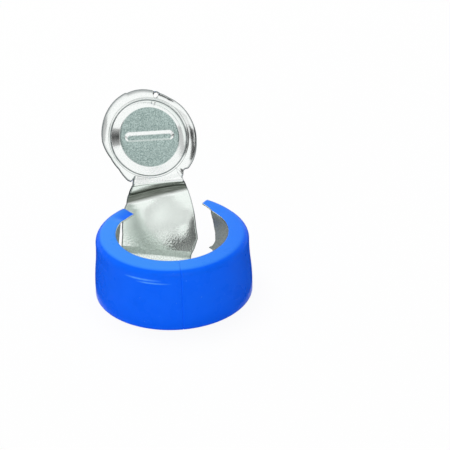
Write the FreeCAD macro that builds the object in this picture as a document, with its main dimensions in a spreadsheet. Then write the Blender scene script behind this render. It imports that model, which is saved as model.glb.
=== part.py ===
import FreeCAD, Part
import math
import os
import Sketcher
from FreeCAD import Placement, Rotation, Vector

# Opened crimp seal of an injection vial, pressed from one sheet of aluminium, in mm.
# Origin: centre of the mouth, in the plane that the mouth rim stands on. +Z is up.
# The tear strip is pulled out of the back (+Y), stands up behind the ring with the
# lift-off disc on its end, and is still joined to the ring at its lower left corner.

SIZES = {
    # Pressed cup
    "sheet_thickness": 0.2,
    "mouth_radius": 10.5,
    "mouth_band_height": 2.7,
    "skirt_radius": 10.15,
    "waist_height": 5.6,
    "shoulder_radius": 1.03,
    "seal_height": 8.53,
    "hole_radius": 7.45,
    "hole_edge_rise": 0.1,
    # Torn gap, with angles about the axis from +X
    "ring_start_angle": 130.7,
    "ring_end_angle": 62.0,
    "tear_top_drop": 0.63,
    "tear_reach": 2.0,
    "tear_margin_angle": 3.0,
    "right_tear_angle": 57.0,
    "right_tear_radius": 14.0,
    "right_tip_radius": 8.2,
    "right_tip_angle": 59.2,
    "right_taper_angle": 44.0,
    "sliver_length": 0.85,
    "sliver_height": 0.75,
    "sliver_thickness": 0.85,
    "left_tear_angle": 134.0,
    "left_tear_slant": 0.2,
    "bridge_height": 1.8,
    "bridge_lap_angle": 0.8,
    # Score line down the front
    "score_angle": -84.5,
    "score_width": 0.14,
    "score_depth": 0.06,
    # Tear strip, the part that was skirt
    "strip_foot_width": 9.6,
    "strip_foot_swing": -14.0,
    "strip_middle_x": -1.75,
    "strip_middle_y": 8.1,
    "strip_middle_height": 4.7,
    "strip_middle_width": 10.0,
    "strip_top_x": -1.8,
    "strip_top_setback": 0.1,
    "strip_top_drop": 0.33,
    "strip_top_width": 8.3,
    "strip_top_swing": 14.0,
    "strip_top_tilt": 5.0,
    "strip_bow": 0.35,
    # Tear strip, from the old shoulder to the disc
    "groove_radius": 1.4,
    "groove_angle": 62.0,
    "annulus_run": 2.0,
    "fold_radius": 0.5,
    "fold_angle": 67.0,
    "neck_run": 0.6,
    "neck_width": 7.0,
    # Lift-off disc
    "disc_lap": 1.0,
    "disc_raise": 0.5,
    "disc_shift": 0.25,
    "disc_turn": -13.0,
    "plateau_radius": 4.05,
    "channel_radius": 5.05,
    "channel_depth": 0.75,
    "rim_radius": 6.5,
    "rim_depth": 0.1,
    "rim_curve_radius": 1.1,
    "bar_length": 6.7,
    "bar_angle": 3.5,
    "bar_width": 1.1,
    "bar_end_radius": 0.6,
    "bar_depth": 0.25,
    "lip_radius": 6.7,
    "lip_root_radius": 6.1,
    "lip_start_angle": 84.0,
    "lip_end_angle": 120.0,
    "notch_radius": 0.35,
    "lip_notch_angle": 81.0,
    "lip_notch_reach": 6.0,
    "neck_notch_angle": -41.0,
    "neck_notch_reach": 6.5,
}

doc = FreeCAD.newDocument("crimp_seal")
sheet = doc.addObject("Spreadsheet::Sheet", "sizes")
for row, (name, length) in enumerate(SIZES.items(), start=1):
    sheet.set(f"A{row}", name)
    sheet.set(f"B{row}", str(length))
    sheet.setAlias(f"B{row}", name)
doc.recompute()

ANTICLOCKWISE = 1
CLOCKWISE = -1
ROOT_POINT = (-1, 1)
# The sketcher's numbers for the two ends of an edge, as it runs and against it
AS_IT_RUNS = (1, 2)
AGAINST_IT = (2, 1)


def size(expression):
    """The number that an expression on the sheet's cells gives."""
    return float(sheet.evalExpression(expression))


def new_body(label):
    body = doc.addObject("PartDesign::Body", label)
    body.Label = label
    return body


def new_sketch(body, name, role, offset=None):
    plane = next(item for item in body.Origin.OriginFeatures if item.Role == role)
    sketch = body.newObject("Sketcher::SketchObject", name)
    sketch.AttachmentSupport = [(plane, "")]
    sketch.MapMode = "FlatFace"
    if offset is not None:
        sketch.AttachmentOffset = offset
    return sketch


def new_upright_sketch(body, name, angle):
    """A sketch on a plane through the axis: x runs at the angle from +X, y runs up."""
    sketch = new_sketch(body, name, "XZ_Plane", Placement(Vector(), Rotation(Vector(0, 1, 0), 1)))
    sketch.setExpression("AttachmentOffset.Rotation.Angle", angle)
    return sketch


def bind(sketch, constraint, expression):
    index = sketch.addConstraint(constraint)
    sketch.setExpression(f"Constraints[{index}]", expression)


def pin(sketch, edge, end, x, y):
    """Ties a point of the sketch to two expressions on the sheet."""
    bind(sketch, Sketcher.Constraint("DistanceX", *ROOT_POINT, edge, end, size(x)), x)
    bind(sketch, Sketcher.Constraint("DistanceY", *ROOT_POINT, edge, end, size(y)), y)


def add_edge(sketch, begin, finish, arc):
    """Adds a line, or an arc given as (radius, turn). Returns its index and its two ends."""
    if not arc:
        edge = sketch.addGeometry(Part.LineSegment(begin, finish))
        return edge, *AS_IT_RUNS
    radius, turn = arc
    chord = finish - begin
    half = chord.Length / 2
    across = Vector(-chord.y, chord.x, 0).normalize() * turn
    to_centre = math.sqrt(size(radius) ** 2 - half ** 2)
    middle = (begin + finish) / 2 - across * (size(radius) - to_centre)
    ends = (begin, finish) if turn == ANTICLOCKWISE else (finish, begin)
    edge = sketch.addGeometry(Part.Arc(ends[0], middle, ends[1]))
    bind(sketch, Sketcher.Constraint("Radius", edge, size(radius)), radius)
    if turn == ANTICLOCKWISE:
        return edge, *AS_IT_RUNS
    return edge, *AGAINST_IT


def draw(sketch, corners, closed=True):
    """Draws lines and arcs through corners (x, y) or (x, y, radius, turn of the arc that follows)."""
    points = [Vector(size(corner[0]), size(corner[1]), 0) for corner in corners]
    count = len(corners) if closed else len(corners) - 1
    edges = []
    for index in range(count):
        finish = points[(index + 1) % len(points)]
        edges.append(add_edge(sketch, points[index], finish, corners[index][2:]))
    for index, (edge, first, last) in enumerate(edges):
        pin(sketch, edge, first, corners[index][0], corners[index][1])
        if closed or index + 1 < count:
            following = edges[(index + 1) % count]
            sketch.addConstraint(Sketcher.Constraint("Coincident", edge, last, following[0], following[1]))
        else:
            pin(sketch, edge, last, corners[-1][0], corners[-1][1])


def draw_circle(sketch, x, y, radius):
    circle = sketch.addGeometry(Part.Circle(Vector(size(x), size(y), 0), Vector(0, 0, 1), size(radius)))
    pin(sketch, circle, 3, x, y)
    bind(sketch, Sketcher.Constraint("Radius", circle, size(radius)), radius)


def revolve(body, name, sketch, angle):
    feature = body.newObject("PartDesign::Revolution", name)
    feature.Profile = sketch
    feature.ReferenceAxis = (sketch, ["V_Axis"])
    feature.setExpression("Angle", angle)
    doc.recompute()
    return feature


def pocket(body, name, sketch, length=None, reverse=False, both_ways=False):
    """Cuts material away, through everything unless a length is given, and makes sure that it did."""
    before = body.Shape.Volume
    feature = body.newObject("PartDesign::Pocket", name)
    feature.Profile = sketch
    feature.Reversed = reverse
    feature.Midplane = both_ways
    if length is None:
        feature.Type = "ThroughAll"
    else:
        feature.setExpression("Length", length)
    doc.recompute()
    if body.Shape.Volume >= before:
        raise RuntimeError(f"{name} cuts nothing")
    return feature


def pad(body, name, sketch, length):
    """Adds sheet below the sketch, and makes sure that it did."""
    before = body.Shape.Volume
    feature = body.newObject("PartDesign::Pad", name)
    feature.Profile = sketch
    feature.Reversed = True
    feature.setExpression("Length", length)
    doc.recompute()
    if body.Shape.Volume <= before:
        raise RuntimeError(f"{name} adds nothing")
    return feature


def polar(radius, angle):
    return f"({radius}) * cos({angle})", f"({radius}) * sin({angle})"


def make_ring():
    """The cup with its gap: flared mouth, skirt, shoulder and the flat top round the hole."""
    body = new_body("ring")
    section = new_upright_sketch(body, "ring_section", "sizes.ring_start_angle")
    outer_mouth = "sizes.mouth_radius"
    inner_mouth = "sizes.mouth_radius - sizes.sheet_thickness"
    outer_skirt = "sizes.skirt_radius"
    inner_skirt = "sizes.skirt_radius - sizes.sheet_thickness"
    shoulder_foot = "sizes.seal_height - sizes.shoulder_radius"
    shoulder_rim = "sizes.skirt_radius - sizes.shoulder_radius"
    under_top = "sizes.seal_height - sizes.sheet_thickness"
    inner_bend = "sizes.shoulder_radius - sizes.sheet_thickness"
    draw(section, [
        (outer_mouth, "0"),
        (outer_mouth, "sizes.mouth_band_height"),
        (outer_skirt, "sizes.waist_height"),
        (outer_skirt, shoulder_foot, "sizes.shoulder_radius", ANTICLOCKWISE),
        (shoulder_rim, "sizes.seal_height"),
        ("sizes.hole_radius", "sizes.seal_height + sizes.hole_edge_rise"),
        ("sizes.hole_radius", f"{under_top} + sizes.hole_edge_rise"),
        (shoulder_rim, under_top, inner_bend, CLOCKWISE),
        (inner_skirt, shoulder_foot),
        (inner_skirt, "sizes.waist_height"),
        (inner_mouth, "sizes.mouth_band_height"),
        (inner_mouth, "0"),
    ])
    revolve(body, "ring_turn", section, "360 + sizes.ring_end_angle - sizes.ring_start_angle")

    tear_top = "sizes.seal_height - sizes.tear_top_drop"
    right_tear = new_upright_sketch(body, "right_tear_outline", "sizes.right_tear_angle + 90")
    draw(right_tear, [
        ("0", tear_top, "sizes.right_tear_radius", ANTICLOCKWISE),
        ("0", "sizes.sliver_height + sizes.sliver_thickness"),
        ("sizes.sliver_length", "sizes.sliver_height"),
        ("0", "-sizes.sheet_thickness"),
        ("sizes.tear_reach", "-sizes.sheet_thickness"),
        ("sizes.tear_reach", tear_top),
    ])
    pocket(body, "right_tear", right_tear, reverse=True)

    left_tear = new_upright_sketch(body, "left_tear_outline", "sizes.left_tear_angle + 90")
    draw(left_tear, [
        ("0", tear_top),
        ("-sizes.tear_reach", tear_top),
        ("-sizes.tear_reach", "sizes.bridge_height"),
        ("sizes.left_tear_slant", "sizes.bridge_height"),
    ])
    pocket(body, "left_tear", left_tear, reverse=True)

    tip = new_sketch(body, "right_tip_outline", "XY_Plane")
    tip.setExpression("AttachmentOffset.Base.z", tear_top)
    inside = "sizes.hole_radius - sizes.tear_reach"
    outside = "sizes.mouth_radius + sizes.tear_reach"
    draw(tip, [
        polar("sizes.hole_radius", "sizes.right_taper_angle"),
        polar("sizes.right_tip_radius", "sizes.right_tip_angle"),
        polar(outside, "sizes.right_tear_angle"),
        polar(outside, "sizes.ring_end_angle + sizes.tear_margin_angle"),
        polar(inside, "sizes.ring_end_angle + sizes.tear_margin_angle"),
        polar(inside, "sizes.right_taper_angle"),
    ])
    pocket(body, "right_tip", tip, length="sizes.tear_reach", reverse=True)

    score = new_upright_sketch(body, "score_outline", "sizes.score_angle")
    above = "sizes.seal_height + sizes.tear_reach"
    draw(score, [
        (outside, "-sizes.score_width"),
        (outside, above),
        (inside, above),
        (inside, "sizes.seal_height + sizes.hole_edge_rise - sizes.score_depth"),
        (shoulder_rim, "sizes.seal_height - sizes.score_depth",
         "sizes.shoulder_radius - sizes.score_depth", CLOCKWISE),
        ("sizes.skirt_radius - sizes.score_depth", shoulder_foot),
        ("sizes.skirt_radius - sizes.score_depth", "sizes.waist_height"),
        ("sizes.mouth_radius - sizes.score_depth", "sizes.mouth_band_height"),
        ("sizes.mouth_radius - sizes.score_depth", "-sizes.score_width"),
    ])
    pocket(body, "score_line", score, length="sizes.score_width", both_ways=True)
    return body


# Steps of the strip's side view, as (outwards, along the strip)
GROOVE_END = ("-sizes.groove_radius * (1 - cos(sizes.groove_angle))",
              "sizes.groove_radius * sin(sizes.groove_angle)")
FLAT_RUN = ("-sizes.annulus_run * sin(sizes.groove_angle)",
            "sizes.annulus_run * cos(sizes.groove_angle)")
FOLD_RUN = ("-sizes.fold_radius * (cos(sizes.groove_angle - sizes.fold_angle) - cos(sizes.groove_angle))",
            "sizes.fold_radius * (sin(sizes.groove_angle) - sin(sizes.groove_angle - sizes.fold_angle))")
NECK_RUN = ("-sizes.neck_run * sin(sizes.groove_angle - sizes.fold_angle)",
            "sizes.neck_run * cos(sizes.groove_angle - sizes.fold_angle)")


def strip_frames():
    """Frames up the strip: x across, y outwards through the sheet, z along the strip."""
    wall_middle = polar("sizes.mouth_radius - sizes.sheet_thickness / 2",
                        "sizes.ring_start_angle + sizes.bridge_lap_angle")
    corner = Vector(size(wall_middle[0]), size(wall_middle[1]), 0)
    from_corner = Vector(size("sizes.strip_foot_width / 2"),
                         size("sizes.strip_bow - sizes.sheet_thickness / 2"), 0)
    foot_swing = size("sizes.strip_foot_swing")
    foot = corner + Rotation(Vector(0, 0, 1), foot_swing).multVec(from_corner)
    bridge = foot + Vector(0, 0, size("sizes.bridge_height"))
    top = Vector(size("sizes.strip_top_x"), size("sizes.skirt_radius + sizes.strip_top_setback"),
                 size("sizes.seal_height - sizes.strip_top_drop"))
    middle_place = Vector(size("sizes.strip_middle_x"), size("sizes.strip_middle_y"),
                          size("sizes.strip_middle_height"))
    slope = top - middle_place
    lean = math.degrees(math.atan2(slope.y, slope.z))

    def frame(place, swing, lean_back, tilt):
        turn = Rotation(Vector(0, 0, 1), swing) * Rotation(Vector(1, 0, 0), -lean_back)
        return Placement(place, turn * Rotation(Vector(0, 1, 0), -tilt))

    top_swing = size("sizes.strip_top_swing")
    top_tilt = size("sizes.strip_top_tilt")
    share = (middle_place.z - bridge.z) / (top.z - bridge.z)
    middle_swing = foot_swing + (top_swing - foot_swing) * share
    middle = frame(middle_place, middle_swing, lean, top_tilt * share)
    upright = [frame(place, foot_swing, 0, 0) for place in (foot, bridge)]
    return (*upright, middle, frame(top, top_swing, lean, top_tilt))


def fold_frame(top_frame):
    """The frame where the fold ends and the flat neck of the disc begins."""
    groove = size("sizes.groove_angle")
    after_fold = groove - size("sizes.fold_angle")
    place = Vector(0, size(GROOVE_END[0]), size(GROOVE_END[1]))
    place += Vector(0, size(FLAT_RUN[0]), size(FLAT_RUN[1]))
    place += Vector(0, size(FOLD_RUN[0]), size(FOLD_RUN[1]))
    return top_frame * Placement(place, Rotation(Vector(1, 0, 0), after_fold))


def make_strip(foot_frame, bridge_frame, middle_frame, top_frame):
    """The torn strip: old skirt, old shoulder as a groove, old flat top, fold and neck."""
    body = new_body("strip")

    def cross_section(name, frame, width):
        sketch = new_sketch(body, name, "XY_Plane", frame)
        half = f"{width} / 2"
        bow_radius = f"({width} ^ 2 / 4 + sizes.strip_bow ^ 2) / (2 * sizes.strip_bow)"
        outer_edge = "sizes.sheet_thickness - sizes.strip_bow"
        draw(sketch, [
            (f"-{half}", "-sizes.strip_bow", bow_radius, CLOCKWISE),
            (half, "-sizes.strip_bow"),
            (half, outer_edge, bow_radius, ANTICLOCKWISE),
            (f"-{half}", outer_edge),
        ])
        return sketch

    foot = cross_section("strip_foot", foot_frame, "sizes.strip_foot_width")
    bridge = cross_section("strip_bridge", bridge_frame, "sizes.strip_foot_width")
    middle = cross_section("strip_middle", middle_frame, "sizes.strip_middle_width")
    top = cross_section("strip_top", top_frame, "sizes.strip_top_width")
    old_skirt = body.newObject("PartDesign::AdditiveLoft", "old_skirt")
    old_skirt.Profile = foot
    old_skirt.Sections = [bridge, middle, top]
    doc.recompute()

    side_view = Rotation(Vector(0, 1, 0), Vector(0, 0, 1), Vector(1, 0, 0), "XYZ")
    path = new_sketch(body, "strip_path", "XY_Plane", top_frame * Placement(Vector(), side_view))
    corners = [("0", "0")]
    for step in (GROOVE_END, FLAT_RUN, FOLD_RUN, NECK_RUN):
        corners.append((f"{corners[-1][0]} + {step[0]}", f"{corners[-1][1]} + {step[1]}"))
    corners[0] += ("sizes.groove_radius", ANTICLOCKWISE)
    corners[2] += ("sizes.fold_radius", CLOCKWISE)
    draw(path, corners, closed=False)
    old_top = body.newObject("PartDesign::AdditivePipe", "old_top")
    old_top.Profile = top
    old_top.Spine = path
    doc.recompute()

    front_view = Placement(Vector(), Rotation(Vector(1, 0, 0), 90))
    sides = new_sketch(body, "neck_sides", "XY_Plane", top_frame * front_view)
    fold_height = corners[2][1]
    end_height = f"{corners[-1][1]} + sizes.tear_reach"
    for side in ("", "-"):
        wide = f"{side}sizes.strip_top_width / 2"
        narrow = f"{side}sizes.neck_width / 2"
        draw(sides, [
            (wide, "0"),
            (narrow, fold_height),
            (narrow, end_height),
            (f"{side}sizes.strip_top_width", end_height),
            (f"{side}sizes.strip_top_width", "0"),
        ])
    pocket(body, "neck_trim", sides, both_ways=True)
    return body


DISC_TO_FOLD = "sizes.disc_lap - sizes.rim_radius"


def make_disc(place):
    """The lift-off disc: plateau with a stamped bar, channel round it, rolled rim and lip."""
    body = new_body("disc")
    body.Placement = place
    section = new_sketch(body, "disc_section", "XZ_Plane")
    sheet_back = "-sizes.sheet_thickness"
    channel_back = "-sizes.channel_depth - sizes.sheet_thickness"
    draw(section, [
        ("0", "0"),
        ("0", sheet_back),
        ("sizes.plateau_radius", sheet_back),
        ("sizes.channel_radius", channel_back, "sizes.rim_curve_radius", ANTICLOCKWISE),
        ("sizes.rim_radius", "-sizes.rim_depth - sizes.sheet_thickness"),
        ("sizes.rim_radius", "-sizes.rim_depth"),
        ("sizes.rim_radius - sizes.sheet_thickness", "-sizes.rim_depth",
         "sizes.rim_curve_radius - sizes.sheet_thickness", CLOCKWISE),
        ("sizes.channel_radius + sizes.sheet_thickness", "-sizes.channel_depth"),
        ("sizes.channel_radius", "-sizes.channel_depth"),
        ("sizes.plateau_radius", "0"),
    ])
    revolve(body, "disc_turn", section, "360")

    def bar_outline(name, depth, margin):
        turn = Rotation(Vector(0, 0, 1), size("sizes.bar_angle"))
        sketch = new_sketch(body, name, "XY_Plane", Placement(Vector(), turn))
        sketch.setExpression("AttachmentOffset.Base.z", depth)
        end = "(sizes.bar_length - sizes.bar_width) / 2"
        side = f"sizes.bar_width / 2 + {margin}"
        round_end = (f"sizes.bar_end_radius + {margin}", ANTICLOCKWISE)
        draw(sketch, [
            (f"-({end})", f"-({side})"),
            (end, f"-({side})", *round_end),
            (end, side),
            (f"-({end})", side, *round_end),
        ])
        return sketch

    pad(body, "bar_back", bar_outline("bar_back_outline", sheet_back, "sizes.sheet_thickness"),
        "sizes.bar_depth")
    pocket(body, "bar_hollow", bar_outline("bar_hollow_outline", "0", "0"), length="sizes.bar_depth")

    lip = new_sketch(body, "lip_outline", "XY_Plane")
    lip.setExpression("AttachmentOffset.Base.z", "-sizes.rim_depth")
    draw(lip, [
        polar("sizes.lip_root_radius", "sizes.lip_start_angle"),
        (*polar("sizes.lip_radius", "sizes.lip_start_angle"), "sizes.lip_radius", ANTICLOCKWISE),
        polar("sizes.lip_radius", "sizes.lip_end_angle"),
        (*polar("sizes.lip_root_radius", "sizes.lip_end_angle"), "sizes.lip_root_radius", CLOCKWISE),
    ])
    pad(body, "lip", lip, "sizes.sheet_thickness")

    square = Placement(Vector(), Rotation(Vector(0, 0, 1), -size("sizes.disc_turn")))
    fold_side = new_sketch(body, "fold_side_outline", "XY_Plane", square)
    draw(fold_side, [
        ("-sizes.rim_radius", DISC_TO_FOLD),
        ("-sizes.rim_radius", "-2 * sizes.rim_radius"),
        ("sizes.rim_radius", "-2 * sizes.rim_radius"),
        ("sizes.rim_radius", DISC_TO_FOLD),
    ])
    pocket(body, "fold_side", fold_side, both_ways=True)

    notches = new_sketch(body, "notch_outlines", "XY_Plane")
    for place in ("lip_notch", "neck_notch"):
        centre = polar(f"sizes.{place}_reach", f"sizes.{place}_angle")
        draw_circle(notches, *centre, "sizes.notch_radius")
    pocket(body, "notches", notches, both_ways=True)
    return body


frames = strip_frames()
disc_place = fold_frame(frames[-1])
disc_centre = Vector(size("sizes.disc_shift"), -size("sizes.disc_raise"), -size(DISC_TO_FOLD))
disc_place = disc_place * Placement(disc_centre, Rotation(Vector(1, 0, 0), 90))
disc_place = disc_place * Placement(Vector(), Rotation(Vector(0, 0, 1), size("sizes.disc_turn")))
ring = make_ring()
strip = make_strip(*frames)
disc = make_disc(disc_place)
doc.recompute()
seal = doc.addObject("Part::MultiFuse", "crimp_seal")
seal.Label = "crimp_seal"
seal.Shapes = [ring, strip, disc]
doc.recompute()

for item in doc.Objects:
    if {"Invalid", "Error"} & set(item.State):
        raise RuntimeError(f"{item.Name} failed: {item.State}")
if seal.Shape.isNull() or not seal.Shape.isValid() or len(seal.Shape.Solids) != 1:
    raise RuntimeError("the seal is not one valid solid")

os.makedirs("parts", exist_ok=True)
seal.Shape.exportStep(f"parts/{seal.Label}.step")
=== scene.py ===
import math

import bmesh
import bpy
from mathutils import Matrix, Vector, noise


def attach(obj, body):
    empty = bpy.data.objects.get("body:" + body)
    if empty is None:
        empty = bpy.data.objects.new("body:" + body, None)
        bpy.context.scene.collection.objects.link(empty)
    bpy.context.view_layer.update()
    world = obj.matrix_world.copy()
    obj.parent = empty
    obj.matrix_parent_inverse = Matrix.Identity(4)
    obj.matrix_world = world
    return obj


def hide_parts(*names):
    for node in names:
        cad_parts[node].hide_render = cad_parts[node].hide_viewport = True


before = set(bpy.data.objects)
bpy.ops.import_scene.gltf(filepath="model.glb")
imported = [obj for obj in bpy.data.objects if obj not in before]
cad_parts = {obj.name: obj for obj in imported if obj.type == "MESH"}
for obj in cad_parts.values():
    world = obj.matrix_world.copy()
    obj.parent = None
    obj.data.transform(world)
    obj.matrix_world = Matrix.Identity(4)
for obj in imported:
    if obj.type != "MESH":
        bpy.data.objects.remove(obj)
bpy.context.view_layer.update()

# Opened crimp seal of an injection vial: one pressed sheet of aluminium, lacquered blue
# outside and bare inside. Sizes are in millimetres and angles in degrees, and a finished
# mesh is scaled to metres. The origin is the centre of the mouth, +Z is up, and the torn
# gap with the pulled-out strip is at the back, +Y.

MM = 0.001
SHEET = 0.2
LONGEST_EDGE = 0.22
SAME_POINT = 0.002

# Ring. Angles run from +X towards +Y, so the front is at 270.
FRONT_ANGLE = 270.0
MOUTH_RADIUS = 10.5
MOUTH_BAND = 2.7
SKIRT_RADIUS = 10.15
WAIST_HEIGHT = 5.6
FLARE_BEND = 1.4
SHOULDER_RADIUS = 1.03
SEAL_HEIGHT = 8.53
HOLE_RADIUS = 7.45
HOLE_EDGE_RISE = 0.1
SCORE_ANGLE = 275.5
SCORE_WIDTH = 0.16
SCORE_DEPTH = 0.07
# Round the score line the ring is divided more finely, over this angle
SCORE_BAND = 1.1
LEFT_END_ANGLE = 131.0
RIGHT_END_ANGLE = 420.0
END_SPAN = 14.0
# Torn ends of the ring: (height, angle)
LEFT_TEAR = [(0.0, 131.5), (1.7, 131.5), (1.95, 136.0), (3.8, 135.3), (6.0, 134.2), (7.9, 133.0),
             (8.6, 132.4)]
RIGHT_TEAR = [(0.0, 417.3), (0.45, 418.1), (0.6, 421.3), (1.0, 418.4), (1.4, 416.6), (2.1, 415.0),
              (3.3, 414.8), (5.0, 415.5), (6.6, 417.2), (8.0, 417.8), (8.6, 418.6)]
RAGGEDNESS = 0.35
RAGS_PER_MM = 3.1
LEFT_CREASE_ANGLE = 157.0
LEFT_CREASE_SPAN = 12.0
LEFT_TIP_SINK = 0.22
RIGHT_CREASE_ANGLE = 395.0
RIGHT_TIP_RISE = 0.25
RIGHT_TAPER_ANGLE = 402.0
RIGHT_TAPER = 0.75

# Tear strip, by the distance up the sheet from its foot. Across it, places run from -1 to 1.
STRIP_FOOT = Vector((-2.17, 6.73, 0.07))
STRIP_LENGTH = 13.1
STRIP_ROWS = 262
STRIP_TOP_START = 9.1
FOLD_BLEND = 2.6
STRIP_LEAN = [(0.0, -10.0), (0.4, -10.0), (1.4, 24.0), (5.0, 28.0), (9.0, 30.0), (10.6, -31.0),
              (12.5, -31.0), (STRIP_LENGTH, 36.0)]
STRIP_SWING = [(0.0, -14.0), (2.0, -14.0), (STRIP_TOP_START, 14.0), (STRIP_LENGTH, 14.0)]
STRIP_TILT = [(0.0, 0.0), (2.0, 0.0), (STRIP_TOP_START, 5.0), (STRIP_LENGTH, 5.0)]
STRIP_SHIFT = [(0.0, 0.0), (1.8, 0.0), (4.0, 0.32), (STRIP_TOP_START, 0.37), (STRIP_LENGTH, 0.37)]
STRIP_LEFT = [(0.0, 4.9), (5.0, 4.95), (7.0, 4.86), (8.5, 4.69), (9.5, 4.38), (10.5, 3.97),
              (STRIP_LENGTH, 3.94)]
STRIP_RIGHT = [(0.0, 4.6), (1.5, 4.82), (2.5, 5.22), (3.5, 5.42), (4.5, 5.17), (6.5, 4.95), (8.0, 4.63),
               (9.0, 4.36), (10.0, 4.04), (11.0, 3.75), (12.0, 3.44), (STRIP_LENGTH, 3.3)]
STRIP_BOW = [(0.0, 0.35), (8.0, 0.35), (10.0, 0.2), (STRIP_LENGTH, 0.1)]
GROOVE_DISTANCE = 9.9
GROOVE_DEPTH = 0.3
GROOVE_REACH = 0.55
DENT_ACROSS = 0.8
DENT_DISTANCE = 5.0
DENT_DEPTH = 0.16
DENT_WIDTH = 0.3
DENT_REACH = 1.3

# Lift-off disc, in its own plane: x right, y up, angles from x
DISC_CENTRE = Vector((0.16, -0.55, 5.52))
DISC_TURN = -13.0
DISC_OUTLINE = [(-51.2, 7.0), (-46.0, 6.45), (-43.0, 6.45), (-39.4, 6.75), (-29.0, 6.75), (-18.1, 6.65),
                (-5.9, 6.51), (6.4, 6.47), (21.3, 6.36), (40.5, 6.29), (61.3, 6.15), (73.0, 6.25),
                (80.0, 6.3), (82.0, 6.3), (84.0, 6.45), (96.3, 6.61), (104.3, 6.67), (115.0, 6.68),
                (116.5, 6.8), (131.0, 6.79), (144.0, 6.7), (165.0, 6.55), (185.5, 6.43), (193.3, 6.29),
                (207.0, 6.03), (225.0, 6.11), (241.5, 6.7), (245.0, 6.68), (247.0, 5.75), (248.4, 5.9),
                (248.9, 6.75)]
NECK_START = 249
NECK_END = 309
LIP_HOLE_ANGLE = 78.7
LIP_HOLE_REACH = 5.91
LIP_HOLE_RADIUS = 0.32
BAR_HALF = 2.7
BAR_TURN = 3.0
BAR_FLOOR = 0.34
BAR_WALL = 0.42
BAR_UPPER_RUN = 0.6
BAR_LOWER_RUN = 0.22
BAR_CAP_TURN = 40.0
BAR_REACH = 4.0
BAR_AXIS_RADIUS = 0.1
# The bar's walls are bright round this radius. Distances from it where this starts, and is full.
BAR_SHEEN_RADIUS = 0.508
BAR_SHEEN = (0.2, 0.15)
PLATEAU_RADIUS = 4.1
CREASE_RADIUS = 5.36
# Disc section: (radius, height towards the bare side)
DISC_SECTION = [(0.02, -0.24), (0.28, -0.24), (0.34, -0.235), (0.4, -0.21), (0.62, -0.04), (0.7, -0.01),
                (0.76, 0.0), (1.8, 0.02), (2.8, 0.02), (3.9, 0.01), (4.04, 0.0), (4.12, -0.02),
                (4.2, -0.08), (4.6, -0.34), (5.05, -0.66), (5.16, -0.73), (5.24, -0.75), (5.3, -0.72),
                (CREASE_RADIUS, -0.62), (5.42, -0.57), (5.6, -0.51), (5.8, -0.43), (6.0, -0.33),
                (6.2, -0.21), (6.34, -0.12), (6.4, -0.1)]
# The channel gets shallower towards the neck. Angles from its middle where this starts, and is full.
CHANNEL_RISE = (84.0, 24.0)
CHANNEL_LIFT = 0.3
# Shares of the way from the crease to the rim where each change starts, and is full
NECK_LEVELLING = (0.0, 1 / 3)
LIP_GREYING = (0.6, 0.85)
RIM_PAINTED_SHADE = (5 / 6, 1.0)
# The grey part of the lip: (angle, share)
GREY_LIP = [(0.0, 0.0), (80.0, 0.0), (84.0, 0.6), (114.0, 0.6), (120.0, 0.15), (200.0, 0.1),
            (210.0, 0.0), (360.0, 0.0)]
DISC_WELD = 0.004

# Places on the sheet for its finish: the strip's are across and up it, and the disc's lie round this one
STRIP_HALF_WIDTH = 5.0
DISC_PLACE = Vector((0, 2 * STRIP_LENGTH, 0))


def smooth(share):
    share = min(max(share, 0.0), 1.0)
    return share * share * (3 - 2 * share)


def between(value, start, full):
    """Rises smoothly from 0 at the start to 1 where it is full. Full may be the lower of the two."""
    return smooth((value - start) / (full - start))


def bell(value, middle, reach):
    """A smooth bump of 1 in the middle."""
    return math.exp(-((value - middle) / reach) ** 2)


def along(stations, place, ease=False):
    """The value at a place between the stations (place, value)."""
    for (start, first), (end, last) in zip(stations, stations[1:]):
        if place <= end:
            share = (place - start) / (end - start)
            return first + (last - first) * (smooth(share) if ease else max(share, 0.0))
    return stations[-1][1]


def turned(angle, axis):
    return Matrix.Rotation(math.radians(angle), 3, axis)


def chain(bm, points):
    """Vertices joined by edges, one after the other."""
    verts = [bm.verts.new(point) for point in points]
    for first, second in zip(verts, verts[1:]):
        bm.edges.new((first, second))
    return verts


def round_corner(bm, vert, size, segments):
    bmesh.ops.bevel(bm, geom=[vert], offset=size, offset_type="OFFSET", affect="VERTICES",
                    segments=segments, profile=0.5, material=-1)


def divide_long_edges(bm, longest):
    for edge in list(bm.edges):
        cuts = math.ceil(edge.calc_length() / longest) - 1
        if cuts > 0:
            bmesh.ops.subdivide_edges(bm, edges=[edge], cuts=cuts)


def ring_sheet():
    """The outer face of the cup, turned from the left torn end round the front to the right one."""
    bm = bmesh.new()
    corners = chain(bm, [
        (MOUTH_RADIUS, 0, 0),
        (MOUTH_RADIUS, 0, MOUTH_BAND),
        (SKIRT_RADIUS, 0, WAIST_HEIGHT),
        (SKIRT_RADIUS, 0, SEAL_HEIGHT),
        (HOLE_RADIUS, 0, SEAL_HEIGHT + HOLE_EDGE_RISE),
    ])
    round_corner(bm, corners[1], FLARE_BEND, 6)
    round_corner(bm, corners[2], FLARE_BEND, 6)
    round_corner(bm, corners[3], SHOULDER_RADIUS, 14)
    divide_long_edges(bm, LONGEST_EDGE)
    bmesh.ops.rotate(bm, verts=bm.verts[:], matrix=turned(LEFT_END_ANGLE, "Z"))
    geom = bm.verts[:] + bm.edges[:]
    before_score = SCORE_ANGLE - SCORE_BAND / 2 - LEFT_END_ANGLE
    after_score = RIGHT_END_ANGLE - SCORE_ANGLE - SCORE_BAND / 2
    for turn, steps in ((before_score, 150), (SCORE_BAND, 8), (after_score, 150)):
        done = bmesh.ops.spin(bm, geom=geom, cent=(0, 0, 0), axis=(0, 0, 1), angle=math.radians(turn),
                              steps=steps, use_merge=False, use_duplicate=False)
        geom = done["geom_last"]
    bmesh.ops.recalc_face_normals(bm, faces=bm.faces[:])
    return bm


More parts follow.
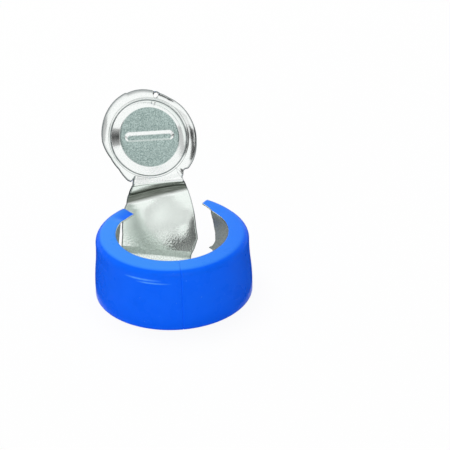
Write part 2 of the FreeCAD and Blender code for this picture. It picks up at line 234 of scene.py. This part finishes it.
def ring_angle(point):
    """The angle round the ring, without a jump between its two torn ends."""
    angle = math.degrees(math.atan2(point.y, point.x)) % 360
    gap_middle = (LEFT_END_ANGLE + RIGHT_END_ANGLE - 360) / 2
    return angle + 360 if angle < gap_middle else angle


def tear_ring(bm):
    """Gives the ring its torn ends, its creases and the score line."""
    for vert in bm.verts:
        angle = ring_angle(vert.co)
        radius = vert.co.xy.length
        height = vert.co.z
        rag = Vector((height * RAGS_PER_MM, radius * RAGS_PER_MM, angle > FRONT_ANGLE))
        ragged = RAGGEDNESS * noise.noise(rag)
        from_left = 1 - (angle - LEFT_END_ANGLE) / END_SPAN
        from_right = 1 - (RIGHT_END_ANGLE - angle) / END_SPAN
        if from_left > 0:
            angle += (along(LEFT_TEAR, height) + ragged - LEFT_END_ANGLE) * from_left ** 2
        if from_right > 0:
            angle += (along(RIGHT_TEAR, height) + ragged - RIGHT_END_ANGLE) * from_right ** 2
        on_top = between(height, SEAL_HEIGHT - SHOULDER_RADIUS, SEAL_HEIGHT)
        inward = between(radius, SKIRT_RADIUS, HOLE_RADIUS)
        past_crease = between(angle, LEFT_CREASE_ANGLE, LEFT_CREASE_ANGLE - LEFT_CREASE_SPAN)
        sink = LEFT_TIP_SINK * past_crease * inward
        rise = RIGHT_TIP_RISE * max(angle - RIGHT_CREASE_ANGLE, 0) / (RIGHT_END_ANGLE - RIGHT_CREASE_ANGLE)
        height += rise * on_top - sink
        taper = RIGHT_TAPER * max(angle - RIGHT_TAPER_ANGLE, 0) / (RIGHT_END_ANGLE - RIGHT_TAPER_ANGLE)
        flat_radius = SKIRT_RADIUS - SHOULDER_RADIUS
        radius += taper * max(flat_radius - radius, 0) / (flat_radius - HOLE_RADIUS)
        turn = math.radians(angle)
        vert.co = Vector((radius * math.cos(turn), radius * math.sin(turn), height))
    bm.normal_update()
    score_half = math.degrees(SCORE_WIDTH / 2 / SKIRT_RADIUS)
    for vert in bm.verts:
        off = abs(ring_angle(vert.co) - SCORE_ANGLE) / score_half
        if off < 1:
            vert.co -= vert.normal * SCORE_DEPTH * (1 - off)


def strip_frames():
    """A frame for each row of the strip: x across, y through the sheet to its lacquered side, z up it."""
    step = STRIP_LENGTH / STRIP_ROWS
    place = STRIP_FOOT.copy()
    frames = []
    for row in range(STRIP_ROWS + 1):
        distance = row * step
        swing = turned(along(STRIP_SWING, distance), "Z")
        up_sheet = swing @ turned(-along(STRIP_LEAN, distance, ease=True), "X")
        turn = up_sheet @ turned(-along(STRIP_TILT, distance), "Y")
        shift = Vector((along(STRIP_SHIFT, distance), 0, 0))
        frames.append(Matrix.Translation(place + shift) @ turn.to_4x4())
        heading = up_sheet @ Vector((0, 0, 1))
        if distance < STRIP_TOP_START:
            # Down here only the shift moves the strip sideways
            heading = Vector((0, math.copysign(heading.xy.length, heading.y), heading.z))
        place = place + heading * step
    return frames


def strip_place(frames, across, distance):
    """A point of the strip's bare face. Across runs from -1 at the left edge to 1 at the right."""
    side = along(STRIP_LEFT if across < 0 else STRIP_RIGHT, distance)
    bow = along(STRIP_BOW, distance) * across ** 2
    groove = GROOVE_DEPTH * (1 - across ** 2) * bell(distance, GROOVE_DISTANCE, GROOVE_REACH)
    dent = DENT_DEPTH * bell(across, DENT_ACROSS, DENT_WIDTH) * bell(distance, DENT_DISTANCE, DENT_REACH)
    row_frame = frames[round(distance / STRIP_LENGTH * STRIP_ROWS)]
    return row_frame @ Vector((across * side, groove + dent - bow, 0))


def add_strip(bm, frames, neck):
    """Adds the strip to the disc, from its foot up to the fold. Neck is the disc's edge there."""
    steps = len(neck) - 1
    place_layer = bm.verts.layers.float_vector["sheet_place"]
    edge_layer = bm.verts.layers.float["sheet_edge"]
    strip = bmesh.ops.create_grid(bm, x_segments=steps, y_segments=STRIP_ROWS, size=1)["verts"]
    for vert in strip:
        across = vert.co.x
        column = round((across + 1) / 2 * steps)
        distance = (vert.co.y + 1) / 2 * STRIP_LENGTH
        pull = neck[column] - strip_place(frames, across, STRIP_LENGTH)
        blend = between(distance, STRIP_LENGTH - FOLD_BLEND, STRIP_LENGTH)
        vert.co = strip_place(frames, across, distance) + pull * blend
        vert[place_layer] = Vector((across * STRIP_HALF_WIDTH, distance, 0))
        # The strip's two edge columns get the painted shade of a dark outline
        vert[edge_layer] = float(column in (0, steps))
    bmesh.ops.remove_doubles(bm, verts=[vert for vert in bm.verts if vert.is_boundary], dist=SAME_POINT)


def bar_place(radius, angle):
    """Where a point of the disc's middle goes, so that its innermost turns follow the stamped bar."""
    angle = (angle + 180) % 360 - 180
    side = 1 if abs(angle) < 90 else -1
    from_end = angle if side > 0 else math.copysign(180, angle) - angle
    if abs(from_end) <= BAR_CAP_TURN:
        direction = math.radians(from_end / BAR_CAP_TURN * 90)
        centre = side * BAR_HALF
    else:
        direction = math.copysign(math.pi / 2, from_end)
        centre = side * BAR_HALF * (90 - abs(from_end)) / (90 - BAR_CAP_TURN)
    out = Vector((side * math.cos(direction), math.sin(direction), 0))
    wall = min(max((radius - BAR_FLOOR) / BAR_WALL, 0), 1)
    run = BAR_UPPER_RUN if out.y > 0 else BAR_LOWER_RUN
    extra = wall * (run - BAR_WALL) * abs(out.y)
    stadium = Vector((centre, 0, 0)) + out * (radius + extra)
    rim = BAR_FLOOR + BAR_WALL
    round_share = min(max((radius - rim) / (PLATEAU_RADIUS - rim), 0), 1)
    turn = math.radians(angle)
    circle = Vector((math.cos(turn), math.sin(turn), 0)) * radius
    return turned(BAR_TURN, "Z") @ stadium.lerp(circle, round_share)


def neck_edge(angle):
    """How far the disc's sheet reaches at the fold, whose line runs across below the disc."""
    left, right = (along(DISC_OUTLINE, a) for a in (NECK_START, NECK_END - 360))
    first = turned(NECK_START, "Z") @ Vector((left, 0, 0))
    last = turned(NECK_END, "Z") @ Vector((right, 0, 0))
    ray = turned(angle, "Z") @ Vector((1, 0, 0))
    across = last - first
    return first.cross(across).z / ray.cross(across).z


def disc_sheet():
    """The bare face of the disc with its stamped bar, plateau, channel and torn rim."""
    bm = bmesh.new()
    chain(bm, [(radius, 0, height) for radius, height in DISC_SECTION])
    bmesh.ops.spin(bm, geom=bm.verts[:] + bm.edges[:], cent=(0, 0, 0), axis=(0, 0, 1),
                   angle=math.tau, steps=360, use_merge=True, use_duplicate=False)
    last_radius = DISC_SECTION[-1][0]
    neck_middle = (NECK_START + NECK_END) / 2
    pressed_layer = bm.verts.layers.float.new("pressed")
    edge_layer = bm.verts.layers.float.new("sheet_edge")
    for vert in bm.verts:
        radius = vert.co.xy.length
        vert[pressed_layer] = between(abs(radius - BAR_SHEEN_RADIUS), *BAR_SHEEN)
        angle = math.degrees(math.atan2(vert.co.y, vert.co.x))
        wide = angle % 360
        in_neck = NECK_START <= wide <= NECK_END
        reach = neck_edge(wide) if in_neck else along(DISC_OUTLINE, wide - 360 * (wide > NECK_END))
        height = vert.co.z
        if radius > PLATEAU_RADIUS:
            from_neck = abs((wide - neck_middle + 180) % 360 - 180)
            height *= 1 - CHANNEL_LIFT * between(from_neck, *CHANNEL_RISE)
        if radius < BAR_REACH:
            place = bar_place(0 if radius < BAR_AXIS_RADIUS else radius, angle)
        else:
            beyond = max(radius - CREASE_RADIUS, 0) / (last_radius - CREASE_RADIUS)
            if beyond > 0:
                radius = CREASE_RADIUS + beyond * (reach - CREASE_RADIUS)
            place = turned(angle, "Z") @ Vector((radius, 0, 0))
            if in_neck:
                height += (DISC_CENTRE.y - height) * between(beyond, *NECK_LEVELLING)
            else:
                lip = along(GREY_LIP, wide) * between(beyond, *LIP_GREYING)
                # Painted shade: a dark outline painted along the rim, and the grey part of the lip
                vert[edge_layer] = max(between(beyond, *RIM_PAINTED_SHADE), lip)
        vert.co = Vector((place.x, place.y, height))
    bmesh.ops.remove_doubles(bm, verts=bm.verts[:], dist=DISC_WELD)
    return bm


def neck_places(bm):
    """The disc's edge along the fold, from left to right."""
    edge = []
    margin = 0.2
    for vert in bm.verts:
        angle = math.degrees(math.atan2(vert.co.y, vert.co.x)) % 360
        if vert.is_boundary and NECK_START - margin < angle < NECK_END + margin:
            edge.append((angle, vert.co.copy()))
    return [place for _, place in sorted(edge, key=lambda item: item[0])]


def punch(bm, centre, radius):
    """Cuts a small round hole and rounds its edge."""
    inside = [face for face in bm.faces if (face.calc_center_median().xy - centre).length < radius]
    bmesh.ops.delete(bm, geom=inside, context="FACES")
    edge_reach = 1.5 * radius
    for vert in bm.verts:
        offset = vert.co.xy - centre
        if vert.is_boundary and offset.length < edge_reach:
            vert.co.xy = centre + offset.normalized() * radius


def opened_sheet():
    """The strip and the lift-off disc, which are still one sheet."""
    frames = strip_frames()
    disc_frame = (frames[-1] @ Matrix.Translation(DISC_CENTRE) @ turned(90, "X").to_4x4()
                  @ turned(DISC_TURN, "Z").to_4x4())
    bm = disc_sheet()
    place_layer = bm.verts.layers.float_vector.new("sheet_place")
    for vert in bm.verts:
        vert[place_layer] = vert.co + DISC_PLACE
    punch(bm, (turned(LIP_HOLE_ANGLE, "Z") @ Vector((LIP_HOLE_REACH, 0, 0))).xy, LIP_HOLE_RADIUS)
    neck = [disc_frame @ place for place in neck_places(bm)]
    bmesh.ops.transform(bm, matrix=disc_frame, verts=bm.verts[:])
    add_strip(bm, frames, neck)
    bmesh.ops.recalc_face_normals(bm, faces=bm.faces[:])
    if sum(face.normal.y for face in bm.faces) > 0:
        bmesh.ops.reverse_faces(bm, faces=bm.faces[:])
    return bm


def finish_piece(name, bm, materials):
    """Makes the sheet a piece of the object. Materials are for the face, the back and the cut edges."""
    bmesh.ops.scale(bm, vec=(MM, MM, MM), verts=bm.verts[:])
    for face in bm.faces:
        face.smooth = True
    mesh = bpy.data.meshes.new(name)
    bm.to_mesh(mesh)
    bm.free()
    piece = bpy.data.objects.new(name, mesh)
    bpy.context.scene.collection.objects.link(piece)
    for material in materials:
        mesh.materials.append(material)
    wall = piece.modifiers.new("sheet", "SOLIDIFY")
    wall.thickness = SHEET * MM
    wall.offset = -1
    wall.material_offset = 1
    wall.material_offset_rim = 2
    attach(piece, "root")
    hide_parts("crimp_seal")


class Value:
    """A node's socket that takes part in Python sums, each of which adds its Math node."""

    def __init__(self, recipe, socket):
        self.recipe = recipe
        self.socket = socket

    def math(self, operation, first, second):
        return self.recipe.add("ShaderNodeMath", {"operation": operation}, {0: first, 1: second})

    def __add__(self, other):
        return self.math("ADD", self, other)

    def __sub__(self, other):
        return self.math("SUBTRACT", self, other)

    def __rsub__(self, other):
        return self.math("SUBTRACT", other, self)

    def __mul__(self, other):
        return self.math("MULTIPLY", self, other)

    __radd__ = __add__


class Recipe:
    """A material that is put together node by node."""

    def __init__(self, name):
        self.material = bpy.data.materials.new(name)
        self.material.use_nodes = True
        self.tree = self.material.node_tree
        self.tree.nodes.clear()
        place = self.add("ShaderNodeTexCoord", outlet="Object")
        self.place = self.vector_math("SCALE", {"Vector": place, "Scale": 1 / MM})

    def add(self, kind, settings=None, values=None, outlet=0):
        """Adds a node: its settings first, then the values or links of its sockets."""
        node = self.tree.nodes.new(kind)
        for name, setting in (settings or {}).items():
            if name == "stops":
                self.set_stops(node, setting)
            else:
                setattr(node, name, setting)
        for name, value in (values or {}).items():
            socket = node.inputs[name]
            if isinstance(value, Value):
                self.tree.links.new(value.socket, socket)
            else:
                socket.default_value = value
        return Value(self, node.outputs[outlet]) if node.outputs else node

    def set_stops(self, node, stops):
        ramp = node.color_ramp
        while len(ramp.elements) < len(stops):
            ramp.elements.new(1)
        for element, (position, shade) in zip(ramp.elements, stops):
            element.position = position
            element.color = (shade, shade, shade, 1)

    def vector_math(self, operation, values, outlet="Vector"):
        return self.add("ShaderNodeVectorMath", {"operation": operation}, values, outlet)

    def grain(self, size, detail=2.0, place=None):
        """Noise from 0 to 1 whose grains are about this size in millimetres."""
        values = {"Vector": place or self.place, "Scale": 1 / size, "Detail": detail}
        return self.add("ShaderNodeTexNoise", {}, values)

    def ramp(self, value, stops):
        return self.add("ShaderNodeValToRGB", {"stops": stops}, {"Fac": value})

    def profile(self, value, stations):
        """A share that runs straight from station to station (value, share)."""
        start, end = stations[0][0], stations[-1][0]
        stops = [((place - start) / (end - start), share) for place, share in stations]
        return self.ramp((value - start) * (1 / (end - start)), stops)

    def axis(self, place, letter):
        return self.add("ShaderNodeSeparateXYZ", {}, {0: place}, outlet=letter)

    def mask(self, name, outlet):
        """A value that the mesh holds at each of its points."""
        return self.add("ShaderNodeAttribute", {"attribute_name": name}, outlet=outlet)

    def blend(self, share, first, second):
        return self.add("ShaderNodeMix", {"data_type": "RGBA"}, {0: share, 6: first, 7: second}, outlet=2)

    def bump(self, height, depth, under=None):
        values = {"Height": height, "Distance": depth * MM, "Strength": 1.0}
        if under is not None:
            values["Normal"] = under
        return self.add("ShaderNodeBump", {}, values)

    def finish(self, sockets):
        """Ends in one shader, whose sockets take these values, and gives the material."""
        shader = self.add("ShaderNodeBsdfPrincipled", {}, sockets)
        self.add("ShaderNodeOutputMaterial", {}, {"Surface": shader})
        return self.material


def painted_highlight_streaks(recipe, height):
    """Two painted highlight streaks below the shoulder, left of the front: a lamp's reflection painted
    into the lacquer.
    """
    across = recipe.axis(recipe.place, "X")
    upper = recipe.profile(height, [(6.98, 0.0), (7.16, 1.0), (7.36, 0.0)])
    upper = upper * recipe.profile(across, [(-6.4, 0.0), (-5.2, 1.0), (-3.6, 1.0), (-1.5, 0.0)])
    lower = recipe.profile(height, [(6.6, 0.0), (6.74, 1.0), (6.9, 0.0)])
    lower = lower * recipe.profile(across, [(-5.0, 0.0), (-3.6, 1.0), (-2.4, 1.0), (-0.2, 0.0)])
    in_front = recipe.profile(recipe.axis(recipe.place, "Y"), [(-1.0, 1.0), (0.0, 0.0)])
    return (upper + lower) * in_front * (0.5 + recipe.grain(0.5) * 0.6)


def blue_lacquer():
    """Satin blue lacquer with faint pits and specks, and a flat top painted lighter with painted light and
    sheen.
    """
    recipe = Recipe("blue_lacquer")
    uneven = recipe.grain(2.5)
    pits = recipe.grain(0.12, detail=3)
    specks = recipe.ramp(recipe.grain(0.35, detail=1), [(0.76, 0.0), (0.82, 1.0)])
    height = recipe.axis(recipe.place, "Z")
    above = height - SEAL_HEIGHT
    # Painted light: on_top is where the flat top is painted a lighter blue for its light and sheen, less
    # so towards the right
    on_top = recipe.profile(above, [(-0.15, 0.0), (-0.02, 0.865), (0.02, 1.0)])
    on_top = on_top * recipe.profile(recipe.axis(recipe.place, "X"), [(0.0, 1.0), (10.0, 0.45)])
    colour = recipe.blend(uneven, (0.001, 0.12, 0.96, 1), (0.004, 0.14, 1.0, 1))
    # The painted light and sheen on the flat top
    colour = recipe.blend(on_top, colour, (0.045, 0.275, 0.94, 1))
    # Painted highlight: two light streaks below the shoulder
    colour = recipe.blend(painted_highlight_streaks(recipe, height), colour, (0.12, 0.42, 1.0, 1))
    colour = recipe.blend(specks * 0.6, colour, (0.1, 0.3, 0.95, 1))
    return recipe.finish({
        "Base Color": colour,
        "Roughness": 0.24 + uneven * 0.08,
        "Specular IOR Level": 0.06,
        "Normal": recipe.bump(recipe.grain(1.6), 0.01, recipe.bump(pits, 0.001)),
    })


def bare_aluminium():
    """Bare aluminium from the press: fine grain, a matt plateau painted grey, and painted shade in the
    groove.
    """
    recipe = Recipe("bare_aluminium")
    sheet_place = recipe.mask("sheet_place", "Vector")
    distance = recipe.axis(sheet_place, "Y")
    from_centre = recipe.vector_math("DISTANCE", {0: sheet_place, 1: DISC_PLACE}, "Value")
    # The plateau is matt and rougher, and also painted grey: a painted reflection of the dim studio
    matt_and_painted_grey = recipe.profile(from_centre - PLATEAU_RADIUS, [(-0.07, 1.0), (0.03, 0.0)])
    matt_and_painted_grey = matt_and_painted_grey * (1 - recipe.mask("pressed", "Fac"))
    from_crease = from_centre - CREASE_RADIUS
    # Painted shade: dark lines painted along the crease and just outside it
    crease = recipe.profile(from_crease, [(-0.21, 0.0), (-0.15, 1.0), (-0.04, 1.0), (0.02, 0.0)])
    outer_crease = recipe.profile(from_crease, [(0.11, 0.0), (0.16, 1.0), (0.2, 1.0), (0.26, 0.0)])
    on_strip = recipe.profile(distance, [(8.5, 1.0), (9.5, 0.0)])
    near_foot = recipe.profile(distance, [(2.5, 1.0), (6.0, 0.0)])
    from_groove = distance - GROOVE_DISTANCE
    # Painted shade: the groove is painted dark, darker in streaks
    groove_painted_shade = recipe.profile(from_groove, [(-1.0, 0.0), (-0.5, 1.0), (0.5, 1.0), (0.9, 0.0)])
    edge = recipe.mask("sheet_edge", "Fac")
    drawn_out = recipe.vector_math("MULTIPLY", {0: sheet_place, 1: (0.35, 6.0, 1)})
    streaks = recipe.grain(1.0, place=drawn_out)
    fine = recipe.grain(0.16, detail=3)
    speckle = recipe.ramp(recipe.grain(0.12, detail=2), [(0.35, 0.0), (0.65, 1.0)])
    spots = recipe.ramp(recipe.grain(0.2, detail=1), [(0.4, 0.0), (0.62, 1.0)])
    colour = recipe.ramp(fine, [(0.3, 0.0), (0.7, 1.0)])
    colour = recipe.blend(colour, (0.86, 0.92, 0.89, 1), (1.0, 1.0, 1.0, 1))
    colour = recipe.blend(on_strip * 0.5, colour, (0.82, 0.92, 0.85, 1))
    # The painted shade in the groove
    colour = recipe.blend(groove_painted_shade * (0.75 + streaks * 0.5), colour, (0.16, 0.18, 0.155, 1))
    # Painted reflection: the grey of the matt plateau
    matt_painted_grey = recipe.blend(speckle, (0.19, 0.27, 0.255, 1), (0.56, 0.68, 0.65, 1))
    colour = recipe.blend(matt_and_painted_grey, colour, matt_painted_grey)
    colour = recipe.blend(near_foot * spots * 0.35, colour, (0.45, 0.54, 0.48, 1))
    # Painted shade along the crease, and a fainter line outside it
    colour = recipe.blend(crease * (0.5 + streaks * 0.6), colour, (0.1, 0.13, 0.13, 1))
    colour = recipe.blend(outer_crease * (0.1 + streaks * 0.7), colour, (0.2, 0.24, 0.22, 1))
    # Painted shade: a dark outline along the sheet's edges. The same colour gives the lip its grey part
    colour = recipe.blend(edge * (0.7 + streaks * 0.5), colour, (0.1, 0.125, 0.13, 1))
    pressed_grain = recipe.bump(recipe.grain(0.26, detail=2) * near_foot, 0.03)
    return recipe.finish({
        "Base Color": colour,
        "Metallic": 1.0,
        "Roughness": 0.1 + fine * 0.06 + matt_and_painted_grey * 0.25 + on_strip * 0.05,
        "Normal": recipe.bump(fine, 0.002, recipe.bump(recipe.grain(1.1), 0.006, pressed_grain)),
    })


def inner_aluminium_painted_shade():
    """The bare inside of the ring, with painted shade: painted dark towards the torn gap, lighter towards
    the front.
    """
    recipe = Recipe("inner_aluminium_painted_shade")
    fine = recipe.grain(0.16, detail=3)
    # Painted shade: the inside is painted dark towards the gap at the back
    shade_share = recipe.profile(recipe.axis(recipe.place, "Y"), [(0.0, 0.0), (4.0, 1.0)])
    # dull holds the colour of the painted shade
    dull = recipe.ramp(fine, [(0.3, 0.0), (0.7, 1.0)])
    dull = recipe.blend(dull, (0.17, 0.19, 0.18, 1), (0.3, 0.34, 0.32, 1))
    unshaded = recipe.blend(fine, (0.7, 0.76, 0.73, 1), (0.97, 1.0, 0.98, 1))
    return recipe.finish({
        "Base Color": recipe.blend(shade_share, unshaded, dull),
        "Metallic": 1.0,
        "Roughness": 0.3 + fine * 0.1,
        "Normal": recipe.bump(fine, 0.002),
    })


def torn_edge():
    """The sheet's torn and sheared edges, dull and a little ragged."""
    recipe = Recipe("torn_edge")
    ragged = recipe.grain(0.2, detail=3)
    colour = recipe.blend(ragged, (0.16, 0.19, 0.2, 1), (0.4, 0.44, 0.43, 1))
    return recipe.finish({
        "Base Color": colour,
        "Metallic": 1.0,
        "Roughness": 0.3 + ragged * 0.2,
        "Normal": recipe.bump(ragged, 0.004),
    })


def make_camera():
    """Stands where the photograph was taken: a long lens in front, 30 degrees above the floor."""
    place = Vector((0, -215.7, 133.7)) * MM
    aim = Vector((7.0, 0, 9.34)) * MM
    roll = -1.27
    data = bpy.data.cameras.new("camera")
    data.lens = 151.2
    data.sensor_width = 36
    camera = bpy.data.objects.new("camera", data)
    camera.matrix_world = (
        Matrix.Translation(place)
        @ (aim - place).to_track_quat("-Z", "Y").to_matrix().to_4x4()
        @ Matrix.Rotation(math.radians(roll), 4, "Z"))
    bpy.context.scene.collection.objects.link(camera)
    bpy.context.scene.camera = camera


def stage_plane(name, width, depth, material):
    bm = bmesh.new()
    bmesh.ops.create_grid(bm, x_segments=1, y_segments=1, size=0.5)
    bmesh.ops.scale(bm, vec=(width, depth, 1), verts=bm.verts[:])
    mesh = bpy.data.meshes.new(name)
    bm.to_mesh(mesh)
    bm.free()
    mesh.materials.append(material)
    plane = bpy.data.objects.new(name, mesh)
    bpy.context.scene.collection.objects.link(plane)
    return plane


def seen_as_white(tree):
    """1 for the camera, and for reflections and light through glass."""
    paths = tree.nodes.new("ShaderNodeLightPath")
    total = paths.outputs["Is Camera Ray"]
    for name in ("Is Glossy Ray", "Is Transmission Ray"):
        both = tree.nodes.new("ShaderNodeMath")
        both.operation = "MAXIMUM"
        tree.links.new(total, both.inputs[0])
        tree.links.new(paths.outputs[name], both.inputs[1])
        total = both.outputs[0]
    return total


def make_floor():
    """A pale floor that keeps a soft shadow."""
    recipe = Recipe("pale_floor")
    shaded = recipe.add("ShaderNodeBsdfDiffuse", {}, {"Color": (0.92, 0.92, 0.92, 1)})
    white = recipe.add("ShaderNodeEmission", {}, {"Color": (1, 1, 1, 1), "Strength": 1.0})
    seen = Value(recipe, seen_as_white(recipe.tree))
    mix = recipe.add("ShaderNodeMixShader", {}, {0: seen * 0.92, 1: shaded, 2: white})
    recipe.add("ShaderNodeOutputMaterial", {}, {"Surface": mix})
    stage_plane("floor", 4, 4, recipe.material)


def reflected_only(card):
    for ray in ("camera", "diffuse", "transmission", "volume_scatter", "shadow"):
        setattr(card, f"visible_{ray}", False)


def glowing(name, shade, edge_shade=None, reach=1.0):
    """An even glow, or one that changes from its middle to its edge, which is reach metres away."""
    recipe = Recipe(name)
    colour = (shade, shade, shade, 1)
    if edge_shade is not None:
        from_middle = recipe.vector_math("LENGTH", {0: recipe.place}, "Value")
        colour = recipe.ramp(from_middle * (MM / reach), [(0.0, shade), (1.0, edge_shade)])
    glow = recipe.add("ShaderNodeEmission", {}, {"Color": colour, "Strength": 1.0})
    recipe.add("ShaderNodeOutputMaterial", {}, {"Surface": glow})
    return recipe.material


def make_card(name, azimuth, elevation, distance, width, height, shade, edge_shade):
    """A card that shows only as a reflection. It darkens or lightens evenly towards its edge."""
    card = stage_plane(name, width, height, glowing(name, shade, edge_shade, max(width, height) / 2))
    card.matrix_world = facing(azimuth, elevation, distance)
    reflected_only(card)


def make_table_card():
    """A dark card on the table round the mouth, which keeps the skirt's blue deep."""
    bm = bmesh.new()
    inner, outer, above_floor = 10.8 * MM, 60 * MM, 0.3 * MM
    chain(bm, [(inner, 0, above_floor), (outer, 0, above_floor)])
    bmesh.ops.spin(bm, geom=bm.verts[:] + bm.edges[:], cent=(0, 0, 0), axis=(0, 0, 1),
                   angle=math.tau, steps=64, use_merge=True, use_duplicate=False)
    mesh = bpy.data.meshes.new("table_card")
    bm.to_mesh(mesh)
    bm.free()
    mesh.materials.append(glowing("table_card", 0.03))
    card = bpy.data.objects.new("table_card", mesh)
    bpy.context.scene.collection.objects.link(card)
    reflected_only(card)


def facing(azimuth, elevation, distance):
    """A place round the object, turned to face it. Azimuth is from the front, to the right."""
    place = turned(azimuth, "Z") @ turned(-elevation, "X") @ Vector((0, -distance, 0))
    return Matrix.Translation(place) @ (-place).to_track_quat("-Z", "Y").to_matrix().to_4x4()


def make_lamp(name, azimuth, elevation, distance, width, height, power, reflected=True):
    """A lamp of so many watts. If it isn't reflected, it gives light but no highlight."""
    data = bpy.data.lights.new(name, "AREA")
    data.shape = "RECTANGLE"
    data.size = width
    data.size_y = height
    data.energy = power
    lamp = bpy.data.objects.new(name, data)
    lamp.matrix_world = facing(azimuth, elevation, distance)
    lamp.visible_glossy = reflected
    bpy.context.scene.collection.objects.link(lamp)


def make_world():
    world = bpy.data.worlds.new("studio")
    world.use_nodes = True
    tree = world.node_tree
    tree.nodes.clear()
    dim = tree.nodes.new("ShaderNodeBackground")
    dim.inputs["Strength"].default_value = 0.35
    white = tree.nodes.new("ShaderNodeBackground")
    white.inputs["Strength"].default_value = 1.0
    mix = tree.nodes.new("ShaderNodeMixShader")
    out = tree.nodes.new("ShaderNodeOutputWorld")
    for background in (dim, white):
        background.inputs["Color"].default_value = (1, 1, 1, 1)
    tree.links.new(seen_as_white(tree), mix.inputs[0])
    tree.links.new(dim.outputs[0], mix.inputs[1])
    tree.links.new(white.outputs[0], mix.inputs[2])
    tree.links.new(mix.outputs[0], out.inputs["Surface"])
    bpy.context.scene.world = world


def make_studio():
    """Lamps give the light, and cards are what the metal and the lacquer reflect. Sizes are in metres."""
    make_floor()
    make_world()
    make_lamp("key", -25, 8, 0.7, 0.3, 0.15, 1.25, reflected=False)
    make_lamp("fill", 8, 29, 0.7, 0.4, 0.3, 0.6)
    make_lamp("top", -160, 68, 0.7, 0.5, 0.4, 3.4, reflected=False)
    make_card("middle_card", 6, 30, 0.6, 0.38, 0.36, 0.96, 0.62)
    make_card("left_card", -22, 30, 0.61, 0.22, 0.36, 0.95, 0.7)
    make_card("side_card", 91, 11, 0.6, 0.45, 0.2, 0.65, 0.5)
    make_card("dark_card", -35, 39, 0.57, 0.15, 0.19, 0.0, 0.15)
    make_card("dark_strip_card", -46, 58, 0.56, 0.2, 0.2, 0.0, 0.15)
    make_card("dark_slope_card", -64, 33, 0.6, 0.28, 0.28, 0.0, 0.35)
    make_table_card()


def make_seal():
    """One pressed sheet, made as its ring and its opened part, which meet at the foot of the left tear."""
    lacquer = blue_lacquer()
    bare = bare_aluminium()
    ring = ring_sheet()
    tear_ring(ring)
    finish_piece("ring", ring, [lacquer, inner_aluminium_painted_shade(), bare])
    finish_piece("opened_sheet", opened_sheet(), [bare, lacquer, torn_edge()])


bpy.context.scene.view_settings.view_transform = "Standard"
make_camera()
make_studio()
make_seal()
